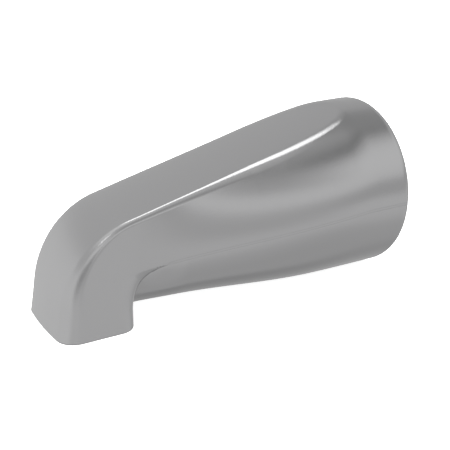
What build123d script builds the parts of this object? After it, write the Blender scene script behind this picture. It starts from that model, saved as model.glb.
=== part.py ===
from build123d import *
from math import radians, tan
import os

os.makedirs("parts", exist_ok=True)

# A bath spout, cast in one piece. Its round, open wall end lies in the plane Y = 0, with the
# centre of that end at the origin. The spout reaches out along -Y, and +Z is up.
# A "reach" is a distance from the wall plane.

# Round wall end
wall_end_radius = 32.1
rim_rounding = 2.2
rim_rounding_reach = 3.4
round_reach = 14.0
underside_round_reach = 34.0

# Nose and outlet
length = 133.35
outlet_length = 28.35
outlet_half_width = 18.5
front_lean = 9.0
front_crown = 1.4
front_corner_radius = 6.5
side_draft = 2.9
lip_corner_radius = 5.8
lip_cove_radius = 17.0

# Flat top, its shoulder and the creases along its sides
neck_setback = 8.0
neck_height = 10.3
top_crown = 0.7
top_start_reach = 22.0
top_start_fall = 2.05
top_start_rise = 1.2
top_start_half_width = 13.5
shoulder_radius = 33.7
crease_radius = 2.2
crease_start_radius = 10.0
crease_sharp_run = 32.0

# Line along each side where the two halves of the mould met, and the round underside below it
parting_neck_drop = 10.1
parting_land = 0.06
side_taper_overrun = 5.0
underside_neck_rise = 3.1
belly_overlap = 7.0

# Walls of the casting
wall = 2.6
inner_crease_cut = 0.6

# Wall that closes the open back, with the threaded boss for the supply pipe
thread_radius = 10.0
thread_length = 17.0
mouth_chamfer = 1.0
waterway_radius = 8.4
boss_wall = 3.4
boss_front_depth = 5.0
boss_lip_gap = 21.0
boss_standoff = 10.0
bulkhead_thickness = 3.0
rib_thickness = 2.2
rib_step = 2.0
rib_count = 4

# Planes of the nose fan out from an axis below the spout
fan_setback = 19.0
fan_depth = 30.0
fan_clearance = 12.0
waist_share = 0.7
corner_growth = (0.35, 0.85)
arm_spans = 5
fan_spans = 8

# Sizes that follow from the ones above
lip_reach = length - outlet_length
neck_reach = lip_reach - neck_setback
fan_reach = neck_reach - fan_setback
fan_drop = wall_end_radius + fan_depth
top_climb = wall_end_radius - top_start_fall - top_start_rise - neck_height
top_slope = top_climb / (neck_reach - top_start_reach)
boss_radius = thread_radius + boss_wall
boss_front_reach = lip_reach - boss_lip_gap
boss_back_reach = boss_front_reach - boss_front_depth - thread_length
bulkhead_reach = boss_back_reach + boss_standoff
beyond = 1.5 * wall_end_radius


def station_plane(reach):
    """Upright plane across the spout, looking out along it."""
    return Plane(origin=(0, -reach, 0), x_dir=(1, 0, 0), z_dir=(0, -1, 0))


def stations(start, end, spans):
    """Evenly spaced reaches, both ends included."""
    return [start + (end - start) * step / spans for step in range(spans + 1)]


def share(value, start, end):
    return min(max((value - start) / (end - start), 0.0), 1.0)


def side_half_width(height):
    """Half width of the nose, whose flat sides are drafted."""
    return outlet_half_width - (height + wall_end_radius) * tan(radians(side_draft))


neck_crease_half_width = side_half_width(neck_height - top_crown)
neck_half_width = side_half_width(-parting_neck_drop)


def settling(reach):
    """Falls from one to nothing where the flat top runs out of the round end."""
    return (1 - share(reach, top_start_reach, neck_reach)) ** 10


def crown_height(reach):
    flat = neck_height + (neck_reach - reach) * top_slope
    return flat + top_start_rise * settling(reach)


def crease_half_width(reach):
    return neck_crease_half_width - (neck_crease_half_width - top_start_half_width) * settling(reach)


def crease_rounding(reach):
    """Wide where the crease fades into the round end, tight from the end of its run-out."""
    fading = (1 - share(reach, top_start_reach, top_start_reach + crease_sharp_run)) ** 1.5
    return crease_radius + (crease_start_radius - crease_radius) * fading


def parting_half_width(reach):
    """Half width at the parting line, easing from the round end into the flat nose."""
    along = share(reach, round_reach, lip_reach + side_taper_overrun)
    eased = along * along * (3 - 2 * along)
    return wall_end_radius + (neck_half_width - wall_end_radius) * eased


def parting_height(reach):
    return -parting_neck_drop * (reach - round_reach) / (neck_reach - round_reach)


def underside_height(reach):
    along = max((reach - underside_round_reach) / (neck_reach - underside_round_reach), 0.0)
    return -wall_end_radius + underside_neck_rise * along


def front_reach(height):
    return length - (height + wall_end_radius) * tan(radians(front_lean))


def hood_section(plane, crease, crown, waist, foot, radius, inset):
    """Crowned top, two creases, sides that run into a straight skirt, and a foot line.

    The creases are rounded outside. Inside they are cut off flat, which keeps the wall's thickness.
    """
    skirt_lean = (foot[0] - waist[0]) / (waist[1] - foot[1])
    straight = abs(waist[0] - skirt_lean * (crease[1] - waist[1]) - crease[0]) < 0.02
    edges = [ThreePointArc((-crease[0], crease[1]), (0, crease[1] + crown), crease)]
    edges.append(Line((-foot[0], foot[1]), foot))
    for side in (-1, 1):
        waist_point = (side * waist[0], waist[1])
        crease_point = (side * crease[0], crease[1])
        if straight:
            edges.append(Line(waist_point, crease_point))
        else:
            edges.append(TangentArc(waist_point, crease_point, tangent=(-side * skirt_lean, 1)))
        edges.append(Line((side * foot[0], foot[1]), waist_point))
    face = Face(Wire(edges))
    corners = face.vertices().group_by(Axis.Y)[-1]
    if inset:
        cut = inner_crease_cut * max(radius - inset, inset / 2)
        return plane.from_local_coords(face.chamfer_2d(cut, cut, corners))
    return plane.from_local_coords(face.fillet_2d(radius, corners))


def round_section(plane, radius):
    """The same edges as a hood section, all on one circle above the middle."""
    turns = (0, 63, 68, 112, 117, 180)
    arcs = [CenterArc((0, 0), radius, a, b - a) for a, b in zip(turns, turns[1:])]
    corners = [(-radius, 0), (-radius, -beyond), (radius, -beyond), (radius, 0)]
    lines = [Line(a, b) for a, b in zip(corners, corners[1:])]
    return plane.from_local_coords(Face(Wire(arcs + lines)))


def shoulder_line():
    """Middle of the top, the shoulder and the front, from the fan's axis round to its last plane."""
    lean = tan(radians(front_lean))
    bend_reach = front_reach(neck_height + neck_reach * top_slope) / (1 - lean * top_slope)
    with BuildLine(Plane.YZ) as line:
        FilletPolyline(
            (-fan_reach, crown_height(fan_reach)),
            (-bend_reach, crown_height(bend_reach)),
            (-front_reach(-fan_drop), -fan_drop),
            radius=shoulder_radius,
        )
    return line.line


def fan_section(top, turn, inset):
    """Section on the plane that holds the fan's axis and a point of the shoulder line."""
    axis_point = Vector(0, -fan_reach, -fan_drop)
    size = (top - axis_point).length
    out = (top - axis_point).normalized()
    crown = top_crown + (front_crown - top_crown) * turn
    radius = crease_radius + (front_corner_radius - crease_radius) * turn

    def corner(height):
        point = axis_point + out * height
        half_width = max(parting_half_width(-point.Y), side_half_width(point.Z))
        return (half_width - inset, height)

    crease_point = axis_point + out * (size - crown)
    crease = (side_half_width(crease_point.Z) - inset, size - crown - inset)
    plane = Plane(origin=axis_point, x_dir=(1, 0, 0), z_dir=Vector(1, 0, 0).cross(out))
    waist = corner(waist_share * size)
    foot = corner(fan_clearance)
    return hood_section(plane, crease, crown, waist, foot, radius, inset)


def upper_form(inset):
    """Solid above the parting line: round end, flat top, sides, shoulder and nose."""
    sections = [round_section(station_plane(round_reach), wall_end_radius - inset)]
    for reach in stations(top_start_reach, fan_reach, arm_spans):
        half_width = parting_half_width(reach) - inset
        crease = (crease_half_width(reach) - inset, crown_height(reach) - top_crown - inset)
        waist = (half_width, parting_height(reach))
        foot = (half_width, fan_clearance - fan_drop)
        plane = station_plane(reach)
        radius = crease_rounding(reach)
        sections.append(hood_section(plane, crease, top_crown, waist, foot, radius, inset))
    line = shoulder_line()
    for along in stations(0, 1, fan_spans)[1:]:
        sections.append(fan_section(line @ along, share(along, *corner_growth), inset))
    with BuildPart() as hood:
        loft(sections)
    return hood.part


def belly_section(reach, inset):
    """Half ellipse below the parting line, open upwards to beyond the spout."""
    land = parting_land * share(reach, round_reach, underside_round_reach)
    half_width = parting_half_width(reach) + land - inset
    middle = parting_height(reach)
    depth = middle - underside_height(reach) - inset
    sides = [(-half_width, middle), (-half_width, beyond), (half_width, beyond), (half_width, middle)]
    with BuildSketch(station_plane(reach)) as section:
        with BuildLine():
            EllipticalCenterArc((0, middle), half_width, depth, start_angle=180, arc_size=180)
            Polyline(sides)
        make_face()
    return section.sketch


def lower_form(inset):
    """Solid whose underside is the rounded belly of the spout."""
    round_stations = stations(round_reach, underside_round_reach, 2)
    taper_stations = stations(underside_round_reach, lip_reach + belly_overlap, arm_spans)
    with BuildPart() as belly:
        loft([belly_section(reach, inset) for reach in round_stations])
        loft([belly_section(reach, inset) for reach in taper_stations])
    return belly.part


def nose_form(inset):
    """Part of the upper form that runs down to the outlet, with a cove and rounded corners behind."""
    back = -lip_reach - inset
    bottom = -wall_end_radius - inset
    top = parting_height(lip_reach)
    start = (-boss_back_reach, parting_height(boss_back_reach))
    with BuildPart() as nose:
        add(upper_form(inset))
        with BuildSketch(Plane.YZ):
            with BuildLine():
                FilletPolyline(start, (back, top), (back, bottom), radius=lip_cove_radius)
                Polyline(
                    (back, bottom),
                    (back - beyond, bottom),
                    (back - beyond, beyond),
                    (start[0], beyond),
                    start,
                )
            make_face()
        extrude(amount=beyond, both=True, mode=Mode.INTERSECT)
        behind = faces().filter_by(lambda face: face.normal_at().Y > 0.3 and face.center().Z < top)
        corners = behind.edges().filter_by(lambda edge: abs(edge.center().X) > 1)
        fillet(corners, lip_corner_radius - inset)
    return nose.part


def spout_form(inset):
    """The whole spout, drawn in by an inset."""
    with BuildPart() as body:
        add(upper_form(inset))
        add(lower_form(inset), mode=Mode.INTERSECT)
    with BuildPart() as form:
        add(body.part)
        add(nose_form(inset))
        with BuildSketch(station_plane(0)):
            Circle(wall_end_radius - inset)
        extrude(amount=round_reach)
    return form.part


with BuildPart() as cavity:
    add(spout_form(wall))
    with BuildSketch(station_plane(-wall)):
        Circle(wall_end_radius - wall)
    extrude(amount=2 * wall)
    with BuildSketch(station_plane(bulkhead_reach)):
        Rectangle(4 * beyond, 4 * beyond)
    extrude(amount=bulkhead_thickness, mode=Mode.SUBTRACT)
    with BuildSketch(station_plane(boss_back_reach)):
        Circle(boss_radius)
    extrude(amount=boss_front_reach - boss_back_reach, mode=Mode.SUBTRACT)
    with BuildSketch(station_plane(boss_back_reach + rib_step)):
        with PolarLocations(0, rib_count):
            Rectangle(4 * beyond, rib_thickness, align=(Align.MIN, Align.CENTER))
    extrude(amount=boss_standoff - rib_step, mode=Mode.SUBTRACT)

with BuildPart() as spout_body:
    add(spout_form(0))
    with BuildSketch(Plane.YZ):
        with BuildLine():
            EllipticalCenterArc(
                (-rim_rounding_reach, wall_end_radius - rim_rounding),
                rim_rounding_reach,
                rim_rounding,
                start_angle=0,
                arc_size=90,
            )
            Polyline(
                (-rim_rounding_reach, wall_end_radius),
                (0, wall_end_radius),
                (0, wall_end_radius - rim_rounding),
            )
        make_face()
    revolve(axis=Axis.Y, mode=Mode.SUBTRACT)
    add(cavity.part, mode=Mode.SUBTRACT)
    with BuildSketch(station_plane(boss_back_reach)):
        Circle(thread_radius)
    extrude(amount=thread_length, mode=Mode.SUBTRACT)
    with BuildSketch(station_plane(boss_back_reach)):
        Circle(waterway_radius)
    extrude(amount=boss_front_reach - boss_back_reach, mode=Mode.SUBTRACT)
    mouth = edges().filter_by(GeomType.CIRCLE).filter_by(lambda edge: abs(edge.radius - thread_radius) < 0.01)
    chamfer(mouth.sort_by(Axis.Y)[-1], mouth_chamfer)

spout_body.part.label = "spout_body"
export_step(spout_body.part, "parts/spout_body.step")
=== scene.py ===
import math

import bpy
import numpy as np
from mathutils import Matrix, Vector


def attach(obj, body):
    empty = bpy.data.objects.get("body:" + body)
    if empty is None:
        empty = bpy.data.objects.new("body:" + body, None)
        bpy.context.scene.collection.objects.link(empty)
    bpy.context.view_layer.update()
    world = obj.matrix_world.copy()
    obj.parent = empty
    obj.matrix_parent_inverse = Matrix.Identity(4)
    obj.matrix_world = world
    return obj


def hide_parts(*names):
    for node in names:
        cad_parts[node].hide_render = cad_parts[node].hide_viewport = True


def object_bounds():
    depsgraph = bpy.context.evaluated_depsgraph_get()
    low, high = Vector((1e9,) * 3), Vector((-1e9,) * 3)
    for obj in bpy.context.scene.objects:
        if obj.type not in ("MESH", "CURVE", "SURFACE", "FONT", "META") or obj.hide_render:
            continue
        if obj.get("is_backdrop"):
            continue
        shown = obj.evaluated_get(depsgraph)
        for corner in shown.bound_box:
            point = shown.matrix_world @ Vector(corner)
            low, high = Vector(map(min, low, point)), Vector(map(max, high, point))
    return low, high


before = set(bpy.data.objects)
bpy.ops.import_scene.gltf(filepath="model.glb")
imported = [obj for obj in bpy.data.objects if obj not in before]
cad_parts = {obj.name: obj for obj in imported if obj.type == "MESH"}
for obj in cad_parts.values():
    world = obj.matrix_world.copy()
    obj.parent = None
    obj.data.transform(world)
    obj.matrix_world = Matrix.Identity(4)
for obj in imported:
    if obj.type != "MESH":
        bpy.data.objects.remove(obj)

low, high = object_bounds()

# Sizes of the casting in millimetres. Reach runs from the wall towards the outlet, height up from the axis.
MM = 0.001
LENGTH = 133.35
WALL = 2.6

# Round wall end and the arm
WALL_END_RADIUS = 32.1
RIM_ROUNDING = 2.2
RIM_ROUNDING_REACH = 3.4
ROUND_REACH = 14.0
ARM_END_REACH = 110.0
ARM_SWELL = 0.35
SIDE_HEIGHT = 31.98
SIDE_HEIGHT_REACHES = (4, 24)
SIDE_HEIGHT_END_REACH = 60
UNDERSIDE_RISE = 3.13
UNDERSIDE_RISE_REACHES = (31.8, 90.3)

# Top, shoulder and front, with the crease beside them
NECK_REACH = 97.0
NECK_HEIGHT = 10.3
TOP_SLOPE = 0.2473
TOP_CROWN = 0.44
TOP_LIFT = 0.72
TOP_LIFT_REACH = 9.0
EDGE_FALL = 0.16
EDGE_FALL_POWER = 10
EDGE_FALL_LIMIT = 1.1
SHOULDER_RADIUS = 33.7
FRONT_LEAN = math.tan(math.radians(9))
FRONT_CROWN = 1.28
FRONT_CORNER_RADIUS = 6.3
CREASE_HALF_WIDTH = 16.63
CREASE_START_RADIUS = 0.7
CREASE_RADIUS = 1.64
CREASE_RADIUS_REACHES = (14, 62)

# Nose, outlet and lip. The belly pulls in behind the nose, which leaves a notch under its side.
OUTLET_HALF_WIDTH = 18.5
SIDE_DRAFT = math.tan(math.radians(2.9))
NOSE_SIDE_REACH = 116
BELLY_TUCK = 2.2
BELLY_TUCK_REACHES = (86, 104)
LIP_REACH = 105.0
LIP_COVE_RADIUS = 17.0
LIP_CORNER_RADIUS = 5.8
LIP_CORNER_RUN = (4, 16)
LIP_EDGE_RADIUS = 0.5
LIP_OVERLAP = 0.15

# Parting line and its land: a flat strip with a hairline groove on each side
PARTING_DROP = 10.1
PARTING_EASE = 8.0
LAND_HALF_WIDTH = 0.42
GROOVE_DEPTH = 0.075
GROOVE_WIDTH = 0.13
GROOVE_END_REACHES = (90, 97)

# Fan of planes round the shoulder: where it starts, its centre, the angle from upright to the outlet's front
# edge, and the shares of that angle between which the arm's form turns into the nose's
FAN_REACH = 80.0
FAN_CENTRE = (78.0, -62.1)
FAN_TURN = math.atan2(55, 30)
NOSE_TURNS = (0.35, 0.95)

# Pipe thread inside the boss. The ridge's half widths are shares of the pitch.
THREAD_START = 62.0
THREAD_LENGTH = 16.0
THREAD_RADIUS = 10.0
THREAD_PITCH = 1.81
THREAD_DEPTH = 0.55
THREAD_SEAT = 0.12
THREAD_ROOT_HALF = 0.45
THREAD_CREST_HALF = 0.08
THREAD_STEPS = 72

# Rows and columns of the outside's mesh. The last rows of the fan, past the notch, run to the lip.
RIM_ROWS = 8
ARM_ROWS = 112
FAN_ROWS = 160
LIP_ROWS = 4
NOTCH_SHARE = 0.82
COLUMNS = (22, 18, 34, 38, 30)

# Half widths of the bands where columns gather: at the crease a share of its radius, at the parting line
# millimetres that grow in the cove. The crease's band stays below the angle given in degrees.
CREASE_BAND = 1.3
CREASE_BAND_TOP = 84
PARTING_BAND = 1.15
PARTING_BAND_GROWTH = 5.0
PARTING_BAND_RUN = 12

# Search for the outside on rays from a row's centre: their length, the halvings, the angles in degrees and
# number of rays that look for the crease, where the parting line is looked for from, how far up a row its
# share of the nose is read, and how close to its two faces the cove counts
RAY_LENGTH = 80
HALVINGS = 32
CREASE_SEARCH = (89, 20, 140)
PARTING_SEARCH_START = -20.0
NOSE_SHARE_HEIGHT = 10
COVE_LIMIT = 5

# Step over which the outside's slope is read, what still counts as the flat rim, the least rounding, a value
# that keeps divisors from zero, and a depth past any other
SLOPE_STEP = 0.01
CLOSE = 0.01
LEAST_RADIUS = 0.001
TINY = 1e-9
FAR = 1000.0

# Camera, fitted to the outline of the photograph. Lengths are in metres.
IMAGE_WIDTH = 450
FOCAL_PIXELS = 996.064
SENSOR_WIDTH = 36.0
CAMERA_AZIMUTH = 59.874
CAMERA_ELEVATION = 22.349
CAMERA_ROLL = 0.538
CAMERA_DISTANCE = 0.368393
CAMERA_TARGET = Vector((0.0, -0.060697, -0.008414))
CAMERA_CLIP = (0.01, 20)

# Studio around the spout, as it shows in the plating: the brightness of five walls by elevation in degrees.
# Azimuth 0 lies in front of the outlet, 90 on the camera's side and 180 behind the wall end.
FRONT_WALL = [
    (-90, 0.25),
    (-45, 0.28),
    (-24, 0.74),
    (-12, 0.78),
    (12, 0.76),
    (28, 0.61),
    (40, 0.61),
    (50, 0.72),
    (60, 0.80),
    (90, 0.95),
]
CORNER_WALL = [
    (-90, 0.30),
    (-50, 0.34),
    (-28, 0.62),
    (-18, 0.68),
    (6, 0.45),
    (14, 0.52),
    (28, 0.80),
    (42, 0.68),
    (60, 0.60),
    (75, 0.68),
    (90, 0.95),
]
POST_WALL = [
    (-90, 0.55),
    (-45, 0.57),
    (-20, 0.66),
    (-8, 0.56),
    (3, 0.62),
    (14, 0.76),
    (22, 0.70),
    (32, 0.52),
    (45, 0.48),
    (60, 0.54),
    (73, 0.72),
    (90, 0.95),
]
SIDE_WALL = [
    (-90, 0.53),
    (-42, 0.54),
    (-28, 0.65),
    (-12, 0.67),
    (-2, 0.53),
    (6, 0.54),
    (17, 0.75),
    (40, 0.79),
    (48, 0.66),
    (54, 0.43),
    (58, 0.30),
    (62, 0.38),
    (68, 0.48),
    (78, 0.58),
    (90, 1.0),
]
BACK_WALL = [
    (-90, 0.35),
    (-60, 0.42),
    (-30, 0.55),
    (20, 0.56),
    (36, 0.53),
    (46, 0.40),
    (60, 0.38),
    (74, 0.52),
    (90, 0.95),
]
# Azimuth that the side wall faces squarely. Its bands run level, so they look lower towards its ends, until
# the cosine of the angle away from it reaches a least value.
SIDE_FACING = 150
SIDE_LEAST_COSINE = 0.1
# Azimuths between which one wall fades into the next
FRONT_TO_CORNER = (22, 52)
CORNER_TO_POST = (70, 86)
POST_TO_SIDE = (92, 122)
SIDE_TO_BACK = (155, 195)
BACK_TO_FRONT = (228, 268)
# Softboxes: azimuth and elevation, angles where its edge starts and ends, brightness
BACK_SOFTBOX = ((-110, 65), (9, 15), 2.1)
FRONT_SOFTBOX = ((42, 52), (4, 9), 1.5)

# Glowing floor and the lamp above it, in metres and watts
FLOOR_SIZE = 6.0
FLOOR_SHADE = 0.9
FLOOR_ROUGHNESS = 0.9
FLOOR_GLOW = 0.8
LAMP_SIZE = 3.0
LAMP_HEIGHT = 2.0
LAMP_POWER = 120


def share(value, start, end):
    """How far a value lies between two others, from nothing to one."""
    return np.clip((value - start) / (end - start), 0, 1)


def smooth(value, start, end):
    """Share of the way between two values, starting and ending gently."""
    part = share(value, start, end)
    return part * part * (3 - 2 * part)


def blend(start, end, part):
    """Value part of the way from one to another."""
    return start + (end - start) * part


def flat_side(height):
    """Half width of the nose, whose flat sides are drafted."""
    return OUTLET_HALF_WIDTH - (height + WALL_END_RADIUS) * SIDE_DRAFT


NECK_HALF_WIDTH = flat_side(-PARTING_DROP)


def half_width(reach):
    """Half width at the parting line, easing from the round end into the nose."""
    along = share(reach, ROUND_REACH, ARM_END_REACH)
    # The product peaks halfway along, at a sixteenth
    swell = ARM_SWELL * 16 * (along * (1 - along)) ** 2
    return blend(WALL_END_RADIUS, NECK_HALF_WIDTH, smooth(along, 0, 1)) + swell


def eased_run(reach):
    """Run past the round end, starting gently, so that the parting line leaves the axis without a kink."""
    run = np.maximum(reach - ROUND_REACH, 0)
    return np.where(run < PARTING_EASE, run * run / (2 * PARTING_EASE), run - PARTING_EASE / 2)


PARTING_SLOPE = PARTING_DROP / float(eased_run(NECK_REACH))


def parting_height(reach):
    return -PARTING_SLOPE * eased_run(reach)


def underside(reach):
    return -WALL_END_RADIUS + UNDERSIDE_RISE * smooth(reach, *UNDERSIDE_RISE_REACHES)


def rounded_min(first, second, radius):
    """Smaller of two depths, with the corner between their faces rounded."""
    near_first = np.maximum(radius - first, 0)
    near_second = np.maximum(radius - second, 0)
    corner = (near_first > 0) & (near_second > 0)
    return np.where(corner, radius - np.hypot(near_first, near_second), np.minimum(first, second))


def ellipse_depth(across, up, width, height):
    """Depth inside an ellipse, close to true near its edge."""
    size = np.hypot(across / width, up / height) + TINY
    slope = np.hypot(across / width**2, up / height**2) / size + TINY
    return (1 - size) / slope


def unit(reach, height):
    return np.array([reach, height]) / math.hypot(reach, height)


TOP_OUT = unit(TOP_SLOPE, 1)
TOP_ALONG = unit(1, -TOP_SLOPE)
TOP_LEVEL = (NECK_HEIGHT + NECK_REACH * TOP_SLOPE) * TOP_OUT[1]
FRONT_OUT = unit(1, FRONT_LEAN)
FRONT_ALONG = unit(FRONT_LEAN, -1)
FRONT_LEVEL = (LENGTH - WALL_END_RADIUS * FRONT_LEAN) * FRONT_OUT[0]
SHOULDER_CENTRE = np.linalg.solve(
    np.array([TOP_OUT, FRONT_OUT]), np.array([TOP_LEVEL, FRONT_LEVEL]) - SHOULDER_RADIUS
)
COVE_REACH = LIP_REACH - LIP_COVE_RADIUS
COVE_HEIGHT = float(parting_height(COVE_REACH)) - LIP_COVE_RADIUS * math.hypot(PARTING_SLOPE, 1)


def top_line(reach):
    return (TOP_LEVEL - TOP_OUT[0] * reach) / TOP_OUT[1]


def top_depth(reach, height):
    """Depth below the middle line of the top, the shoulder and the front."""
    top = TOP_LEVEL - TOP_OUT[0] * reach - TOP_OUT[1] * height
    front = FRONT_LEVEL - FRONT_OUT[0] * reach - FRONT_OUT[1] * height
    x, y = reach - SHOULDER_CENTRE[0], height - SHOULDER_CENTRE[1]
    bend = (x * TOP_ALONG[0] + y * TOP_ALONG[1] > 0) & (x * FRONT_ALONG[0] + y * FRONT_ALONG[1] < 0)
    return np.where(bend, SHOULDER_RADIUS - np.hypot(x, y), np.minimum(top, front))


def cove_depth(reach, height):
    """Depth above the parting line and in front of the nose's back, with the cove between them."""
    above = (height - parting_height(reach)) / math.hypot(PARTING_SLOPE, 1)
    ahead = reach - LIP_REACH
    x, y = reach - COVE_REACH, height - COVE_HEIGHT
    cove = (x - y * PARTING_SLOPE > 0) & (y > 0) & (np.maximum(above, ahead) < COVE_LIMIT)
    return np.where(cove, np.hypot(x, y) - LIP_COVE_RADIUS, np.maximum(above, ahead))


def nose_share(reach, height):
    """From nothing on the arm to one at the outlet, by the angle turned round the shoulder."""
    turned = np.arctan2(reach - FAN_CENTRE[0], height - FAN_CENTRE[1]) / FAN_TURN
    return smooth(turned, *NOSE_TURNS)


def groove(reach, height):
    """Depth of the hairlines along the parting land."""
    away = np.abs(np.abs(height - parting_height(reach)) - LAND_HALF_WIDTH)
    return GROOVE_DEPTH * np.exp(-((away / GROOVE_WIDTH) ** 2)) * (1 - smooth(reach, *GROOVE_END_REACHES))


def body_depths(across, reach, height):
    """Depths under the top and under the sides."""
    across = np.abs(across)
    width, middle = half_width(reach), parting_height(reach)
    nose = nose_share(reach, height)
    crown = blend(TOP_CROWN, FRONT_CROWN, nose)
    crease = np.where(reach > NECK_REACH, flat_side(np.minimum(height, NECK_HEIGHT)), CREASE_HALF_WIDTH)
    lift = TOP_LIFT * np.exp(-np.maximum(reach - ROUND_REACH, 0) / TOP_LIFT_REACH)
    fall = EDGE_FALL * (1 - nose)
    top = top_depth(reach, height) + lift - crown * (across / crease) ** 2
    top = top - fall * np.minimum(across / crease, EDGE_FALL_LIMIT) ** EDGE_FALL_POWER
    rise = top_line(reach) - TOP_CROWN - middle
    through_crease = rise / np.sqrt(1 - (CREASE_HALF_WIDTH / width) ** 2)
    ceiling = blend(WALL_END_RADIUS, SIDE_HEIGHT, smooth(reach, *SIDE_HEIGHT_REACHES))
    capped = np.minimum(through_crease, ceiling)
    oval = np.where(reach < SIDE_HEIGHT_END_REACH, capped, through_crease)
    above = ellipse_depth(across, height - middle, width, oval)
    flat = (flat_side(height) - across) / math.hypot(1, SIDE_DRAFT)
    above = blend(above, flat, smooth(reach, NECK_REACH, NOSE_SIDE_REACH))
    below = np.maximum(width, flat_side(height)) - across
    return top, np.where(height >= middle, above, below)


def body_depth(across, reach, height):
    """Depth of a point under the outside of the spout, apart from the lip's level underside."""
    across = np.abs(across)
    middle = parting_height(reach)
    top, side = body_depths(across, reach, height)
    nose = nose_share(reach, height)
    crease_radius = blend(CREASE_START_RADIUS, CREASE_RADIUS, smooth(reach, *CREASE_RADIUS_REACHES))
    hood = rounded_min(top, side, blend(crease_radius, FRONT_CORNER_RADIUS, nose))
    belly_width = half_width(reach) - BELLY_TUCK * smooth(reach, *BELLY_TUCK_REACHES)
    belly = ellipse_depth(across, height - middle, belly_width, middle - underside(reach))
    belly = np.where(height < middle, belly, FAR)
    corner = LIP_CORNER_RADIUS * smooth(reach - COVE_REACH, *LIP_CORNER_RUN) + LEAST_RADIUS
    depth = np.maximum(rounded_min(hood, cove_depth(reach, height), corner), np.minimum(hood, belly))
    bend = np.sqrt(np.clip(1 - (1 - reach / RIM_ROUNDING_REACH) ** 2, 0, 1))
    rim = np.where(reach < RIM_ROUNDING_REACH, RIM_ROUNDING * (bend - 1), 0) + WALL_END_RADIUS
    depth = np.where(reach < ROUND_REACH, np.minimum(depth, rim - np.hypot(across, height)), depth)
    return depth - groove(reach, height)


def row_ends():
    """Lowest and highest point of each row in the side view: upright on the arm, then fanning to the lip."""
    turns = np.linspace(0, math.pi / 2, RIM_ROWS, endpoint=False)
    rim = RIM_ROUNDING_REACH * (1 - np.cos(turns))
    reaches = np.concatenate([rim, np.linspace(RIM_ROUNDING_REACH, FAN_REACH, ARM_ROWS)])
    tops = np.where(reaches < ROUND_REACH, WALL_END_RADIUS, top_line(reaches))
    rows = [((reach, underside(reach)), (reach, top)) for reach, top in zip(reaches, tops)]
    lip_level = -WALL_END_RADIUS + LIP_EDGE_RADIUS
    start = np.array([FAN_REACH, top_line(FAN_REACH)])
    bend_start = SHOULDER_CENTRE + SHOULDER_RADIUS * TOP_OUT
    bend_end = SHOULDER_CENTRE + SHOULDER_RADIUS * FRONT_OUT
    straight = np.linalg.norm(bend_start - start)
    arc = SHOULDER_RADIUS * math.acos(TOP_OUT @ FRONT_OUT)
    front = (bend_end[1] - lip_level) / -FRONT_ALONG[1]
    notch = underside(LIP_REACH)
    for part in np.linspace(0, 1, FAN_ROWS + 1)[1:]:
        way = part * (straight + arc + front)
        if way < straight:
            high_end = start + TOP_ALONG * way
        elif way < straight + arc:
            turn = (way - straight) / SHOULDER_RADIUS
            out = math.cos(turn) * TOP_OUT + math.sin(turn) * TOP_ALONG
            high_end = SHOULDER_CENTRE + SHOULDER_RADIUS * out
        else:
            high_end = bend_end + FRONT_ALONG * (way - straight - arc)
        reach = blend(FAN_REACH, LIP_REACH, share(part, 0, NOTCH_SHARE))
        level = underside(reach) + (lip_level - notch) * share(part, NOTCH_SHARE, 1)
        rows.append(((reach, level), tuple(high_end)))
    return np.array(rows)


def bisect(inside, near, far):
    """Where a test turns from true to false between two distances."""
    for _ in range(HALVINGS):
        middle = (near + far) / 2
        found = inside(middle)
        near, far = np.where(found, middle, near), np.where(found, far, middle)
    return near


def outside_points(centres, rises, angles, insets):
    """Points under the outside by their row's inset, on rays from the rows' centres."""
    across, up = np.cos(angles), np.sin(angles)

    def place(distance):
        lifted = centres[:, None] + rises[:, None] * (up * distance)[..., None]
        return across * distance, lifted[..., 0], lifted[..., 1]

    def inside(distance):
        return body_depth(*place(distance)) > insets[:, None]

    near = np.zeros(angles.shape)
    return place(bisect(inside, near, near + RAY_LENGTH))


def column_angles(centres, rises):
    """Angles of the columns of each row, gathered along the crease and the parting line."""
    fan = np.tile(np.radians(np.linspace(*CREASE_SEARCH)), (len(centres), 1))
    top, side = body_depths(*outside_points(centres, rises, fan, np.zeros(len(centres))))
    first = np.argmax(top > side, axis=1)
    crease = fan[0, first]
    crease[first == 0] = crease[first > 0][0]

    def below(distance):
        return centres[:, 0] - rises[:, 0] * distance, centres[:, 1] - rises[:, 1] * distance

    least = np.full(len(centres), PARTING_SEARCH_START)
    drop = bisect(lambda distance: cove_depth(*below(distance)) > 0, least, least + RAY_LENGTH)
    reach, height = below(drop)
    parting = -np.arctan2(drop, np.maximum(half_width(reach), flat_side(height)))
    nose = nose_share(*(centres + rises * NOSE_SHARE_HEIGHT).T)
    size = np.linalg.norm(np.stack([half_width(reach), drop]), axis=0)
    crease_band = CREASE_BAND * blend(CREASE_RADIUS, FRONT_CORNER_RADIUS, nose) / size
    growth = PARTING_BAND_GROWTH * smooth(reach, COVE_REACH, COVE_REACH + PARTING_BAND_RUN)
    parting_band = (PARTING_BAND + growth) / size
    stops = np.stack(
        [
            np.full(len(centres), math.pi / 2),
            np.minimum(crease + crease_band, math.radians(CREASE_BAND_TOP)),
            crease - crease_band,
            parting + parting_band,
            parting - parting_band,
            np.full(len(centres), -math.pi / 2),
        ],
        axis=1,
    )
    bands = [
        stops[:, i, None] + (stops[:, i + 1] - stops[:, i])[:, None] * (np.arange(count) + 0.5) / count
        for i, count in enumerate(COLUMNS)
    ]
    right = np.concatenate(bands, axis=1)
    return np.concatenate([right, math.pi - right[:, ::-1]], axis=1)


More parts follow.
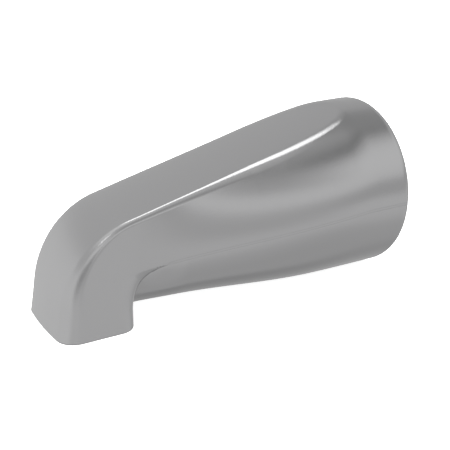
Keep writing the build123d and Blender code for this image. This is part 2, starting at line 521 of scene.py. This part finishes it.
def skin_rings():
    """Points and outward directions of the outside, ring by ring from the rim to the lip's inner edge."""
    ends = row_ends()
    spans = ends[:, 1] - ends[:, 0]
    centres = ends[:, 0] + spans * 0.5
    rises = spans / np.linalg.norm(spans, axis=1, keepdims=True)
    angles = column_angles(centres, rises)
    lip_turns = np.linspace(0, math.pi / 2, LIP_ROWS + 1)[1:]
    edge_insets = np.append(LIP_EDGE_RADIUS * (1 - np.cos(lip_turns)), WALL + LIP_OVERLAP)
    edge_levels = np.append(-LIP_EDGE_RADIUS * np.sin(lip_turns), -LIP_EDGE_RADIUS)
    insets = np.append(np.zeros(len(centres)), edge_insets)
    levels = np.append(centres[:, 1], centres[-1, 1] + edge_levels)
    extra = len(edge_insets)
    centres = np.concatenate([centres, np.repeat(centres[-1:], extra, axis=0)])
    centres[:, 1] = levels
    rises = np.concatenate([rises, np.repeat(rises[-1:], extra, axis=0)])
    angles = np.concatenate([angles, np.repeat(angles[-1:], extra, axis=0)])
    x, reach, height = outside_points(centres, rises, angles, insets)
    step = SLOPE_STEP
    slope_x = body_depth(x + step, reach, height) - body_depth(x - step, reach, height)
    slope_reach = body_depth(x, reach + step, height) - body_depth(x, reach - step, height)
    slope_up = body_depth(x, reach, height + step) - body_depth(x, reach, height - step)
    outward = np.stack([-slope_x, slope_reach, -slope_up], axis=-1)
    outward /= np.linalg.norm(outward, axis=-1, keepdims=True)
    for row, turn in enumerate(np.append(lip_turns, math.pi / 2), start=len(outward) - extra):
        outward[row] = math.cos(turn) * outward[row] + np.array([0, 0, -math.sin(turn)])
        outward[row] /= np.linalg.norm(outward[row], axis=-1, keepdims=True)
    return np.stack([x, -reach, height], axis=-1), outward


def map_range(tree, value, start, end, low_end=0.0, high_end=1.0, interpolation="LINEAR"):
    """Value spread from one range to another."""
    node = tree.nodes.new("ShaderNodeMapRange")
    node.interpolation_type = interpolation
    tree.links.new(value, node.inputs["Value"])
    node.inputs["From Min"].default_value = start
    node.inputs["From Max"].default_value = end
    node.inputs["To Min"].default_value = low_end
    node.inputs["To Max"].default_value = high_end
    return node.outputs["Result"]


# Most of a noise's values lie between these two
NOISE_SPAN = (0.3, 0.7)


def noise_value(tree, scale, detail, low_end, high_end):
    """Fine noise over the casting, spread between two values."""
    coords = tree.nodes.new("ShaderNodeTexCoord")
    noise = tree.nodes.new("ShaderNodeTexNoise")
    noise.inputs["Scale"].default_value = scale
    noise.inputs["Detail"].default_value = detail
    tree.links.new(coords.outputs["Object"], noise.inputs["Vector"])
    return map_range(tree, noise.outputs["Fac"], *NOISE_SPAN, low_end, high_end)


def add_bump(tree, shader, height, distance):
    """Relief on a shader's surface, its distance in metres."""
    bump = tree.nodes.new("ShaderNodeBump")
    bump.inputs["Distance"].default_value = distance
    tree.links.new(height, bump.inputs["Height"])
    tree.links.new(bump.outputs["Normal"], shader.inputs["Normal"])


def new_material(name):
    """Material with its nodes and its shader."""
    material = bpy.data.materials.new(name)
    material.use_nodes = True
    return material, material.node_tree, material.node_tree.nodes["Principled BSDF"]


def make_chrome():
    """Satin chrome: a soft gloss that varies a little, over the faint ripple of a polished casting."""
    material, tree, shader = new_material("chrome plate")
    shader.inputs["Base Color"].default_value = (0.66, 0.66, 0.665, 1)
    shader.inputs["Metallic"].default_value = 1.0
    gloss = noise_value(tree, scale=260, detail=3, low_end=0.09, high_end=0.14)
    tree.links.new(gloss, shader.inputs["Roughness"])
    ripple = noise_value(tree, scale=2400, detail=3, low_end=0, high_end=1)
    add_bump(tree, shader, ripple, distance=0.000012)
    return material


def make_raw_casting():
    """Unpolished zinc inside: dull, with the grain and stains of the die."""
    material, tree, shader = new_material("raw casting")
    shader.inputs["Metallic"].default_value = 0.85
    shade = tree.nodes.new("ShaderNodeCombineColor")
    level = noise_value(tree, scale=130, detail=5, low_end=0.42, high_end=0.56)
    for channel in ("Red", "Green", "Blue"):
        tree.links.new(level, shade.inputs[channel])
    tree.links.new(shade.outputs["Color"], shader.inputs["Base Color"])
    dullness = noise_value(tree, scale=300, detail=4, low_end=0.42, high_end=0.62)
    tree.links.new(dullness, shader.inputs["Roughness"])
    grain = noise_value(tree, scale=900, detail=6, low_end=0, high_end=1)
    add_bump(tree, shader, grain, distance=0.00006)
    return material


def new_object(name, data):
    """Object in the scene for a mesh, a light or a camera."""
    thing = bpy.data.objects.new(name, data)
    bpy.context.scene.collection.objects.link(thing)
    return thing


def inner_faces(mesh):
    """Corners, points and normals of the CAD faces that line the inside, and the flat rim at the wall."""
    points = np.empty(len(mesh.vertices) * 3)
    mesh.vertices.foreach_get("co", points)
    points = points.reshape(-1, 3) / MM
    normals = np.empty(len(mesh.loops) * 3)
    mesh.corner_normals.foreach_get("vector", normals)
    normals = normals.reshape(-1, 3)
    depth = body_depth(points[:, 0], -points[:, 1], points[:, 2])
    across = np.hypot(points[:, 0], points[:, 2])
    depth = np.where(points[:, 1] > -ROUND_REACH, WALL_END_RADIUS - across, depth)
    lining = depth > np.where(points[:, 1] > -RIM_ROUNDING_REACH, RIM_ROUNDING - CLOSE, WALL / 2)
    faces, corners = [], []
    for polygon in mesh.polygons:
        if all(lining[list(polygon.vertices)]):
            faces.append(list(polygon.vertices))
            corners.extend(polygon.loop_indices)
    return points, faces, normals[corners]


def make_casting(node):
    """The whole casting: a fine mesh of the outside, with the CAD's inside."""
    rings, outward = skin_rings()
    rows, columns, _ = rings.shape
    index = np.arange(rows * columns).reshape(rows, columns)
    after = np.roll(index, -1, axis=1)
    quads = np.stack([index[:-1], index[1:], after[1:], after[:-1]], axis=-1).reshape(-1, 4)
    points, faces, lining_normals = inner_faces(node.data)
    lining_faces = [[corner + rows * columns for corner in face] for face in faces]
    mesh = bpy.data.meshes.new("spout_casting")
    vertices = np.concatenate([rings.reshape(-1, 3), points]) * MM
    mesh.from_pydata(vertices.tolist(), [], quads.tolist() + lining_faces)
    mesh.materials.append(make_chrome())
    mesh.materials.append(make_raw_casting())
    mesh.polygons.foreach_set("material_index", [0] * len(quads) + [1] * len(faces))
    mesh.polygons.foreach_set("use_smooth", [True] * len(mesh.polygons))
    normals = np.concatenate([outward.reshape(-1, 3)[quads.ravel()], lining_normals])
    mesh.normals_split_custom_set(normals.tolist())
    casting = new_object("spout_casting", mesh)
    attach(casting, "root")
    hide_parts("spout_body")


def make_thread():
    """Turns of the pipe thread in the boss, as a ridge that winds along the bore."""
    steps = int(THREAD_LENGTH / THREAD_PITCH * THREAD_STEPS)
    profile = [
        (-THREAD_ROOT_HALF, THREAD_SEAT),
        (-THREAD_CREST_HALF, -THREAD_DEPTH),
        (THREAD_CREST_HALF, -THREAD_DEPTH),
        (THREAD_ROOT_HALF, THREAD_SEAT),
    ]
    vertices = []
    for step in range(steps + 1):
        turn = 2 * math.pi * step / THREAD_STEPS
        fade = min(1, step / THREAD_STEPS, (steps - step) / THREAD_STEPS)
        for along, out in profile:
            radius = THREAD_RADIUS + (out if out > 0 else out * fade)
            reach = THREAD_START + (step / THREAD_STEPS + 0.5 + along) * THREAD_PITCH
            vertices.append((radius * math.sin(turn) * MM, -reach * MM, radius * math.cos(turn) * MM))
    size = len(profile)
    faces = [
        (step * size + i, step * size + i + 1, (step + 1) * size + i + 1, (step + 1) * size + i)
        for step in range(steps)
        for i in range(size - 1)
    ]
    mesh = bpy.data.meshes.new("supply_thread")
    mesh.from_pydata(vertices, [], faces)
    mesh.materials.append(make_raw_casting())
    thread = new_object("supply_thread", mesh)
    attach(thread, "root")


def direction(azimuth, elevation):
    """Unit vector towards a place in the studio."""
    turn, tilt = math.radians(azimuth), math.radians(elevation)
    level = math.cos(tilt)
    return Vector((math.sin(turn) * level, -math.cos(turn) * level, math.sin(tilt)))


def set_input(tree, socket, value):
    """Gives a node's input a number, or another node's output."""
    if isinstance(value, bpy.types.NodeSocket):
        tree.links.new(value, socket)
    else:
        socket.default_value = value


def math_node(tree, operation, *values):
    """Math node whose inputs are numbers or sockets."""
    node = tree.nodes.new("ShaderNodeMath")
    node.operation = operation
    for socket, value in zip(node.inputs, values):
        set_input(tree, socket, value)
    return node.outputs["Value"]


def mix_values(tree, factor, first, second):
    """Blend of two numbers or sockets by a factor."""
    node = tree.nodes.new("ShaderNodeMix")
    node.data_type = "FLOAT"
    for name, value in (("Factor", factor), ("A", first), ("B", second)):
        set_input(tree, node.inputs[name], value)
    return node.outputs["Result"]


def wall_level(tree, elevation, wall):
    """Brightness of a wall as a smooth curve over the elevation."""
    curve = tree.nodes.new("ShaderNodeFloatCurve")
    points = curve.mapping.curves[0].points
    for index, (angle, level) in enumerate(wall):
        place = ((angle + 90) / 180, level)
        if index == 0:
            points[0].location = place
        elif index == len(wall) - 1:
            points[-1].location = place
        else:
            points.new(*place)
    curve.mapping.update()
    tree.links.new(math_node(tree, "MULTIPLY_ADD", elevation, 1 / math.pi, 0.5), curve.inputs["Value"])
    return curve.outputs["Value"]


def side_elevation(tree, split):
    """Elevation on the side wall, whose bands run level."""
    facing = direction(SIDE_FACING, 0)
    across = math_node(tree, "MULTIPLY", split.outputs["X"], facing.x)
    towards = math_node(tree, "MULTIPLY_ADD", split.outputs["Y"], facing.y, across)
    towards = math_node(tree, "MAXIMUM", towards, SIDE_LEAST_COSINE)
    return math_node(tree, "ARCTAN2", split.outputs["Z"], towards)


def all_walls(tree, split):
    """Brightness of the five walls, each fading into the next round the room."""
    elevation = math_node(tree, "ARCSINE", split.outputs["Z"])
    forward = math_node(tree, "MULTIPLY", split.outputs["Y"], -1.0)
    turn = math_node(tree, "ARCTAN2", split.outputs["X"], forward)
    azimuth = math_node(tree, "WRAP", turn, 2 * math.pi, 0.0)
    front = wall_level(tree, elevation, FRONT_WALL)
    fades = (
        (wall_level(tree, elevation, CORNER_WALL), FRONT_TO_CORNER),
        (wall_level(tree, elevation, POST_WALL), CORNER_TO_POST),
        (wall_level(tree, side_elevation(tree, split), SIDE_WALL), POST_TO_SIDE),
        (wall_level(tree, elevation, BACK_WALL), SIDE_TO_BACK),
        (front, BACK_TO_FRONT),
    )
    level = front
    for wall, (start, end) in fades:
        faded = map_range(
            tree, azimuth, math.radians(start), math.radians(end), interpolation="SMOOTHSTEP"
        )
        level = mix_values(tree, faded, level, wall)
    return level


def softbox_light(tree, towards, place, edge):
    """How far a direction lies within a softbox: one inside, nothing past its soft edge."""
    aim = tree.nodes.new("ShaderNodeVectorMath")
    aim.operation = "DOT_PRODUCT"
    aim.inputs[1].default_value = direction(*place)
    tree.links.new(towards, aim.inputs[0])
    inner, outer = (math.cos(math.radians(angle)) for angle in edge)
    return map_range(tree, aim.outputs["Value"], outer, inner, interpolation="SMOOTHSTEP")


def make_world():
    """Studio that lights the spout and shows in its plating."""
    world = bpy.data.worlds.new("studio")
    bpy.context.scene.world = world
    world.use_nodes = True
    tree = world.node_tree
    tree.nodes.clear()
    coords = tree.nodes.new("ShaderNodeTexCoord")
    split = tree.nodes.new("ShaderNodeSeparateXYZ")
    tree.links.new(coords.outputs["Generated"], split.inputs["Vector"])
    level = all_walls(tree, split)
    for place, edge, brightness in (BACK_SOFTBOX, FRONT_SOFTBOX):
        lit = softbox_light(tree, coords.outputs["Generated"], place, edge)
        level = mix_values(tree, lit, level, brightness)
    background = tree.nodes.new("ShaderNodeBackground")
    tree.links.new(level, background.inputs["Strength"])
    output = tree.nodes.new("ShaderNodeOutputWorld")
    tree.links.new(background.outputs["Background"], output.inputs["Surface"])


def make_floor():
    """White floor that the spout rests on, which glows enough to show no shadow, and a lamp above it."""
    bpy.ops.mesh.primitive_plane_add(size=FLOOR_SIZE, location=(0, 0, low.z))
    floor = bpy.context.object
    floor.name = "floor"
    material, _, shader = new_material("floor")
    shader.inputs["Base Color"].default_value = (FLOOR_SHADE, FLOOR_SHADE, FLOOR_SHADE, 1)
    shader.inputs["Emission Color"].default_value = (1, 1, 1, 1)
    shader.inputs["Emission Strength"].default_value = FLOOR_GLOW
    shader.inputs["Roughness"].default_value = FLOOR_ROUGHNESS
    floor.data.materials.append(material)
    floor.visible_glossy = False
    floor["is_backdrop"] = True
    light_data = bpy.data.lights.new("overhead", "AREA")
    light_data.shape = "DISK"
    light_data.size = LAMP_SIZE
    light_data.energy = LAMP_POWER
    light = new_object("overhead", light_data)
    light.location = (0, 0, LAMP_HEIGHT)
    light.visible_glossy = False
    light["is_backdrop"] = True


def make_camera():
    """Camera that sees the spout as the photograph does."""
    camera_data = bpy.data.cameras.new("camera")
    camera_data.sensor_width = SENSOR_WIDTH
    camera_data.lens = FOCAL_PIXELS / IMAGE_WIDTH * SENSOR_WIDTH
    camera_data.clip_start, camera_data.clip_end = CAMERA_CLIP
    camera = new_object("camera", camera_data)
    back = direction(CAMERA_AZIMUTH, CAMERA_ELEVATION)
    right = Vector((-back.y, back.x, 0)).normalized()
    up = back.cross(right)
    roll = math.radians(CAMERA_ROLL)
    rolled_right = math.cos(roll) * right + math.sin(roll) * up
    rolled_up = math.cos(roll) * up - math.sin(roll) * right
    axes = Matrix((rolled_right, rolled_up, back)).transposed().to_4x4()
    camera.matrix_world = Matrix.Translation(CAMERA_TARGET + CAMERA_DISTANCE * back) @ axes
    bpy.context.scene.camera = camera


scene = bpy.context.scene
scene.view_settings.view_transform = "Standard"
make_casting(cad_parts["spout_body"])
make_thread()
make_world()
make_floor()
make_camera()

low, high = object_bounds()
